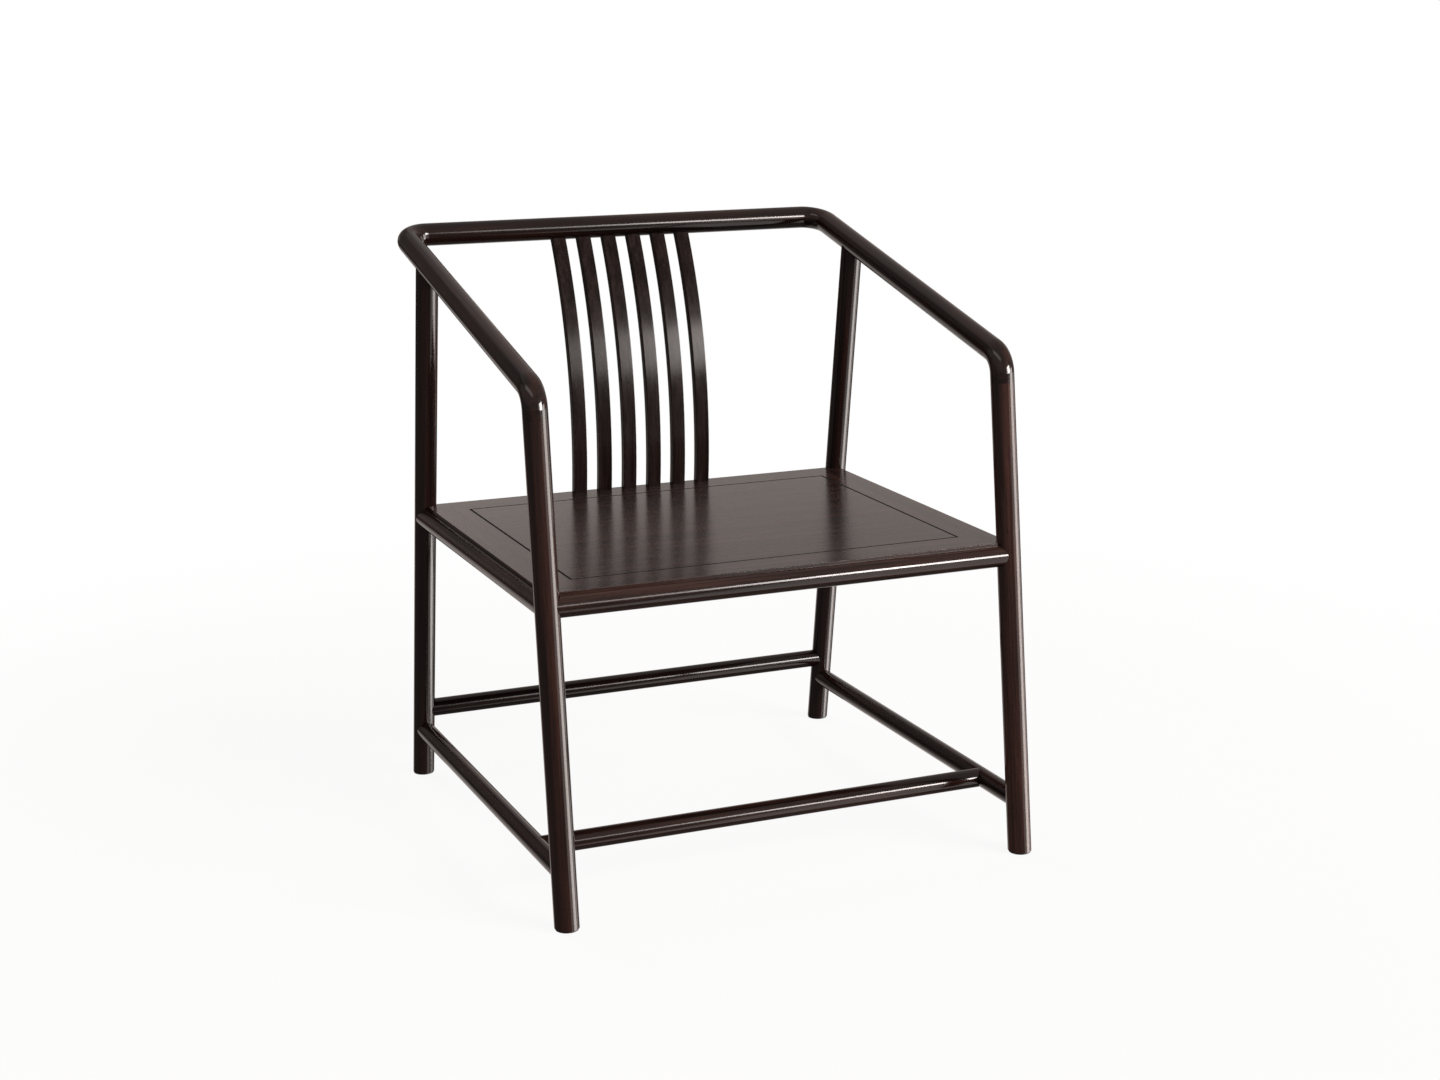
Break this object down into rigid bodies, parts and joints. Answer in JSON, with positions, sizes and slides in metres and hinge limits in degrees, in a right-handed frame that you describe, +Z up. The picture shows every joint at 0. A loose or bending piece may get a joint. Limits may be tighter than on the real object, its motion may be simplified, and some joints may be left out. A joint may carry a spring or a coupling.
{
  "type": "lounge chair",
  "caption": "Low lounge chair of round dark wood bars, with sloping armrests that bend into the crest rail, curved back slats, a framed panel seat and low stretchers.",
  "frame": {"origin": "on the floor, in the middle of the overall box", "axes": "+Z up, +X towards the right-hand side of someone facing the chair, -Y towards the front, where the sitter's knees are"},
  "size_m": [0.6294, 0.6208, 0.7475],
  "materials": {
    "lacquered_wood": "satin dark lacquer",
    "panel_wood": "satin dark lacquer over straight grain",
    "raw_wood": "oiled dark wood",
    "glide_nylon": "plain black"
  },
  "bodies": {
    "root": {"crest_rail": "lacquered_wood", "armrest_left": "lacquered_wood", "armrest_right": "lacquered_wood", "crest_corner_dowel_left": "raw_wood", "crest_corner_dowel_right": "raw_wood", "front_leg_left": "lacquered_wood", "front_leg_right": "lacquered_wood", "rear_leg_left": "lacquered_wood", "rear_leg_right": "lacquered_wood", "seat_rail_front": "lacquered_wood", "seat_rail_rear": "lacquered_wood", "seat_rail_left": "lacquered_wood", "seat_rail_right": "lacquered_wood", "seat_panel": "panel_wood", "seat_batten_left": "raw_wood", "seat_batten_right": "raw_wood", "stretcher_front": "lacquered_wood", "stretcher_rear": "lacquered_wood", "stretcher_left": "lacquered_wood", "stretcher_right": "lacquered_wood", "foot_glide_front_left": "glide_nylon", "foot_glide_front_right": "glide_nylon", "foot_glide_rear_left": "glide_nylon", "foot_glide_rear_right": "glide_nylon", "frame_dowel_front_left": "raw_wood", "frame_dowel_front_right": "raw_wood", "frame_dowel_rear_left": "raw_wood", "frame_dowel_rear_right": "raw_wood", "back_slat_1": "lacquered_wood", "back_slat_2": "lacquered_wood", "back_slat_3": "lacquered_wood", "back_slat_4": "lacquered_wood", "back_slat_5": "lacquered_wood", "back_slat_6": "lacquered_wood"}
  },
  "joints": []
}
